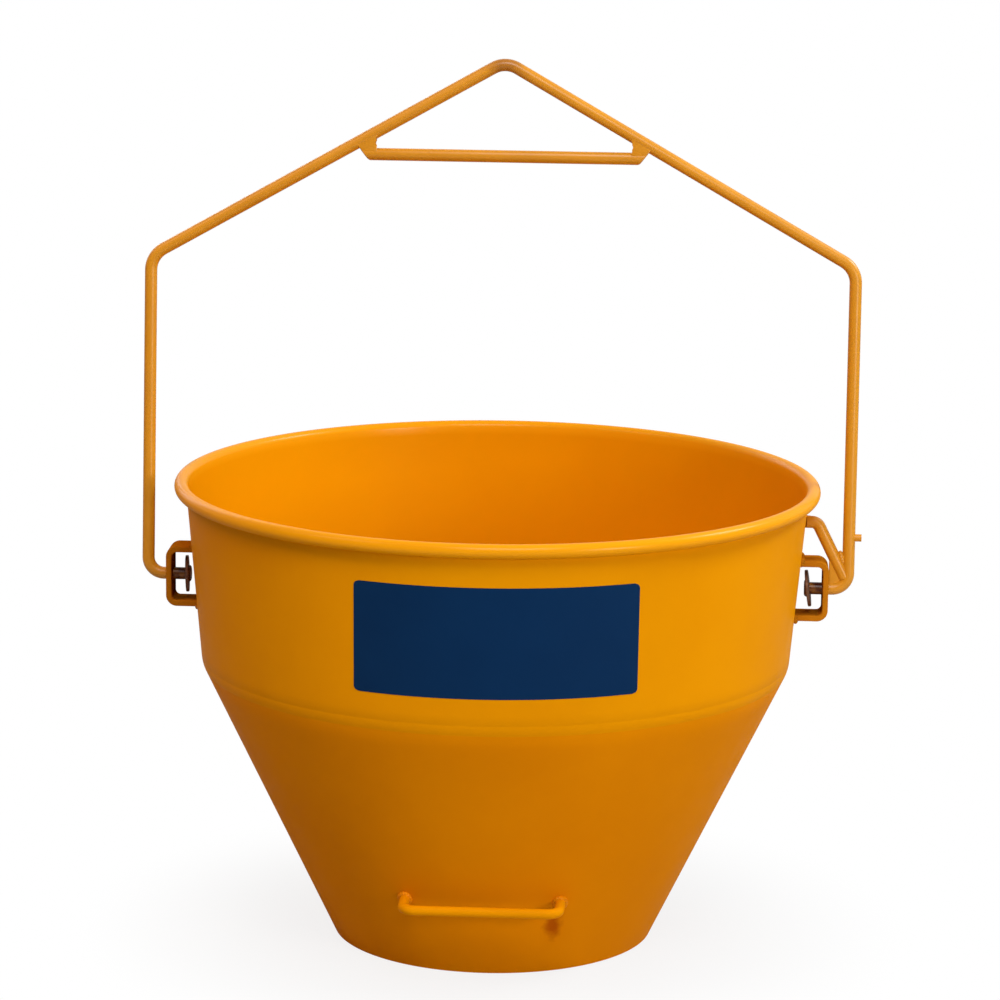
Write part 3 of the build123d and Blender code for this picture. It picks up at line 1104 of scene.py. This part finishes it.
def tipping_handle():
    """Bent bar low on the front, its legs ending in the wall."""
    sunk = handle_root + handle_rod
    points = [
        (-handle_half, sunk, handle_height),
        (-handle_half, handle_front, handle_height),
        (handle_half, handle_front, handle_height),
        (handle_half, sunk, handle_height),
    ]
    bends = [0, handle_bend, handle_bend, 0]
    mesh = round_bar("tipping_bar", points, bends, handle_rod, (0, 0, 1), shell_enamel)
    for vertex in mesh.vertices:
        wall = cone_front(vertex.co.x, vertex.co.z) + sheet / 2
        vertex.co.y = min(vertex.co.y, wall)
    return mesh


def handle_beads(seed):
    """Weld round the root of each leg of the tipping handle."""
    meshes = []
    for side in (-1, 1):
        points = []
        outs = []
        for aside, up in turns(root_bead_points):
            x = side * handle_half + handle_rod / 2 * aside
            z = handle_height + handle_rod / 2 * up
            points.append(Vector((x, cone_front(x, z) - root_bead_lift, z)))
            outs.append(Vector((aside, -1, up)).normalized())
        meshes.append(
            bead("handle_bead", points, outs, root_bead, root_bead / 2, weld_enamel, seed + side, True)
        )
    return joined(meshes)


piece("tipping_bar", tipping_handle(), "bucket", "shell_paint", "tipping_handle")
piece("tipping_bar_beads", handle_beads(seed=30), "bucket", "weld_paint", "tipping_handle_welds")


# Bail, made about the pivot

def bail_bar(name, points, bends, diameter=bail_rod):
    """Mesh of a round bar of the bail, bent in the bail's own plane."""
    return round_bar(name, points, bends, diameter, (0, 1, 0), bail_enamel)


def bail_rod_mesh():
    """Bail bent from one round bar, with its ends turned in as pivots."""
    points = [
        (-pin_end, 0, 0),
        (-bail_half_width, 0, 0),
        (-bail_half_width, 0, shoulder_height),
        (0, 0, peak_height),
        (bail_half_width, 0, shoulder_height),
        (bail_half_width, 0, 0),
        (pin_end, 0, 0),
    ]
    return bail_bar("bail", points, [0, end_bend, top_bend, top_bend, top_bend, end_bend, 0])


def hook_rod_mesh():
    """Cross bar that closes the hook eye, its ends cut slanting."""
    middle = hook_bar_half - bail_rod / 2 * tan(hook_bar_cut)
    points = [(-middle, 0, hook_bar_height), (middle, 0, hook_bar_height)]
    mesh = eased_ends(bail_bar("hook_rod", points, [0, 0]), hook_bar_edge)
    for vertex in mesh.vertices:
        side = 1 if vertex.co.x > 0 else -1
        vertex.co.x += side * (vertex.co.z - hook_bar_height) * tan(hook_bar_cut)
    return mesh


def slope_height(x):
    """Height of the bail's slope above the pivot, at a distance from the middle."""
    return peak_height - x * tan(bail_slope)


def hook_beads():
    """Weld that fills the corner between the hook bar and each slope, with a hollow inner edge."""
    inner = hook_bar_half - hook_weld_reach
    foot = hook_bar_half - hook_weld_foot
    top = hook_bar_half + hook_weld_top
    bar_edge = bail_rod / 2 - hook_weld_overlap
    low = hook_bar_height + bar_edge
    high = slope_height(inner) - bar_edge / cos(bail_slope)
    half_outline = [(foot, hook_bar_height), (inner, hook_bar_height)]
    for i in range(bead_side_steps + 1):
        part = i / bead_side_steps
        half_outline.append((inner + hook_weld_hollow * sin(pi * part), low + (high - low) * part))
    half_outline += [(inner, slope_height(inner)), (top, slope_height(top))]
    meshes = []
    for side in (-1, 1):
        outline = [(side * x, height) for x, height in half_outline]
        meshes.append(flat_web("hook_bead", outline, hook_weld_thickness, hook_weld_edge, bail_enamel))
    return joined(meshes)


def end_washer(tilt, turn):
    """Washer on the turned-in end of the bail, a little crooked."""
    hole = bail_rod / 2 + washer_clearance
    half = washer_thickness / 2
    side = half - washer_edge
    corners = [
        (hole + washer_edge, -half),
        (washer_radius - washer_edge, -half),
        (washer_radius, -side),
        (washer_radius, side),
        (washer_radius - washer_edge, half),
        (hole + washer_edge, half),
        (hole, side),
        (hole, -side),
    ]
    section = [Vector((radius, 0, height)) for radius, height in corners]
    mesh = turned("washer", section, washer_steel, steps=washer_steps, waviness=0.0)
    place = Matrix.Translation((washer_place + half, 0, 0)) @ Matrix.Rotation(tilt, 4, "Y")
    return placed(mesh, place @ Matrix.Rotation(turn, 4, "Z") @ Matrix.Rotation(pi / 2, 4, "Y"))


def washer_bead(seed):
    """Weld that holds a washer on the end of the bail."""
    points = []
    outs = []
    for aside, up in turns(root_bead_points):
        points.append(Vector((washer_place, aside * bail_rod / 2, up * bail_rod / 2)))
        outs.append(Vector((-1, aside, up)).normalized())
    return bead(
        "washer_bead", points, outs, washer_bead_width, washer_bead_crown, washer_steel, seed, closed=True
    )


def stop_arm():
    """Bent bar from the lower bend of the right leg to the wall under the rim."""
    foot = (arm_foot, 0, arm_foot_height)
    points = [(arm_tip_end, 0, arm_height), (arm_corner, 0, arm_height), foot]
    return bail_bar("arm", points, [0, arm_bend, 0])


def stop_arm_bead():
    """Weld in the crotch between the stop arm and the bail leg."""
    points = []
    for i in range(bead_side_steps + 1):
        above_foot = arm_bead_start + arm_bead_length * i / bead_side_steps
        arm_x = arm_foot - above_foot * arm_slope
        points.append(Vector(((arm_x + bail_half_width) / 2, 0, arm_foot_height + above_foot)))
    outs = [Vector((0, -1, 0))] * len(points)
    return bead("arm_bead", points, outs, arm_bead_width, arm_bead_crown, bail_enamel, seed=51)


def arm_web():
    """Flat web that fills the corner between the foot of the arm and the turned-in end."""
    near = strap_face + web_gap
    top = arm_foot_height + (arm_foot - near) / arm_slope
    outline = [(near, 0.0), (arm_foot, 0.0), (arm_foot, arm_foot_height), (near, top)]
    return flat_web("arm_web", outline, web_thickness, web_edge, bail_enamel)


def leg_stud():
    """Short stud on the outside of the right leg."""
    leg_side = bail_half_width + bail_rod / 2
    points = [(leg_side - stud_sunk, 0, stud_height), (leg_side + stud_length, 0, stud_height)]
    return bail_bar("stud", points, [0, 0], 2 * stud_radius)


def bail_piece(name, mesh, slot, *nodes):
    """A piece of the bail, set where the bail leans."""
    return piece(name, placed(mesh, bail_place), "bail", slot, *nodes)


right_washer = end_washer(right_washer_tilt, right_washer_turn)
left_washer = placed(end_washer(left_washer_tilt, left_washer_turn), mirror_left)
washer_beads = joined([washer_bead(seed=61), placed(washer_bead(seed=62), mirror_left)])
bail_piece("bail", bail_rod_mesh(), "bail_paint", "bail_bar")
bail_piece("hook_rod", hook_rod_mesh(), "bail_paint", "hook_bar")
bail_piece("hook_beads", hook_beads(), "weld_paint", "hook_bar_welds")
bail_piece("right_washer", right_washer, "washer_steel", "right_end_washer")
bail_piece("left_washer", left_washer, "washer_steel", "left_end_washer")
bail_piece("washer_beads", washer_beads, "washer_steel", "end_washer_welds")
bail_piece("arm", stop_arm(), "bail_paint", "stop_arm")
bail_piece("arm_bead", stop_arm_bead(), "weld_paint", "stop_arm_weld")
bail_piece("arm_web", arm_web(), "bail_paint")
bail_piece("stud", leg_stud(), "bail_paint", "leg_stud")


# Carried-over CAD nodes

for node, material in {
    "rim_wire": rim_wire_steel,
    "bottom_disc": shell_enamel,
    "stop_lug": shell_enamel,
    "stop_lug_weld": weld_enamel,
}.items():
    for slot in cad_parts[node].material_slots:
        slot.material = material


# Studio

white = (1.0, 1.0, 1.0)
soft_warm = (1.0, 0.85, 0.70)
warm = (1.0, 0.55, 0.30)


def pale_floor():
    """Pale floor that the camera sees as white, apart from the bucket's shadow."""
    half = 40.0
    mesh = bpy.data.meshes.new("floor")
    corners = [(-half, -half, 0), (half, -half, 0), (half, half, 0), (-half, half, 0)]
    mesh.from_pydata(corners, [], [(0, 1, 2, 3)])
    floor = linked("floor", mesh)
    material, tree, shader = new_material("floor")
    links = {"Base Color": (0.50, 0.50, 0.50, 1), "Roughness": 0.9, "Specular IOR Level": 0.0}
    feed(tree, shader, links)
    seen = add(tree, "ShaderNodeLightPath")["Is Camera Ray"]
    away = length_of(tree, object_place(tree))
    paleness = ramp(tree, away, over=(0.12, 0.36), onto=(0.84, 1.0), interpolation_type="SMOOTHSTEP")
    glow = add(tree, "ShaderNodeEmission", {"Color": (*white, 1), "Strength": 1.0})[0]
    share = math(tree, "MULTIPLY", seen, paleness)
    mixed = add(tree, "ShaderNodeMixShader", {0: share, 1: shader.outputs[0], 2: glow})[0]
    feed(tree, tree.nodes["Material Output"], {"Surface": mixed})
    material.cycles.emission_sampling = "NONE"
    mesh.materials.append(material)


def white_surround():
    """World that the camera sees as white, dim as a light and bright behind in reflections."""
    dim = 0.05
    world = bpy.data.worlds.new("studio")
    bpy.context.scene.world = world
    world.use_nodes = True
    tree = world.node_tree
    path = add(tree, "ShaderNodeLightPath")
    clear = math(tree, "MAXIMUM", path["Is Camera Ray"], path["Is Transmission Ray"])
    direction = axes_of(tree, add(tree, "ShaderNodeTexCoord")["Generated"])
    behind = ramp(tree, direction["Y"], over=(-0.3, 0.6), onto=(dim, 1.0))
    links = {0: path["Is Glossy Ray"], 2: dim, 3: behind}
    mirrored = add(tree, "ShaderNodeMix", links, data_type="FLOAT")[0]
    strength = add(tree, "ShaderNodeMix", {0: clear, 2: mirrored, 3: 1.0}, data_type="FLOAT")[0]
    feed(tree, tree.nodes["Background"], {"Strength": strength, "Color": (*white, 1)})


def soft_lamps():
    """Soft lamps round the bucket, each with its place, size, power and colour."""
    lamps = {
        "front_lamp": ((0.3, -2.2, 3.0), 1.5, 62, white),
        "right_low_lamp": ((2.2, -2.4, 1.0), 0.7, 41, soft_warm),
        "right_high_lamp": ((2.4, 0.7, 2.4), 0.9, 54, white),
        "left_lamp": ((-2.2, -1.0, 3.0), 1.5, 44, warm),
        "back_lamp": ((-1.7, 2.5, 1.6), 1.5, 20, white),
    }
    target = Vector((0, 0, 0.3))
    for name, (place, size, power, colour) in lamps.items():
        lamp = bpy.data.lights.new(name, "AREA")
        lamp.size = size
        lamp.energy = power
        lamp.color = colour
        made = linked(name, lamp)
        made.location = place
        made.rotation_euler = (target - Vector(place)).to_track_quat("-Z", "Y").to_euler()


def photo_camera():
    """Camera where the photograph was taken from."""
    data = bpy.data.cameras.new("photo_camera")
    data.lens = camera_lens
    data.sensor_width = camera_sensor
    data.clip_end = 50.0
    camera = linked("photo_camera", data)
    camera.location = camera_place
    camera.rotation_mode = "QUATERNION"
    look = Vector(camera_direction).to_track_quat("-Z", "Y")
    camera.rotation_quaternion = look @ Quaternion((0, 0, 1), camera_roll)
    bpy.context.scene.camera = camera


pale_floor()
white_surround()
soft_lamps()
photo_camera()
bpy.context.scene.view_settings.view_transform = "Standard"
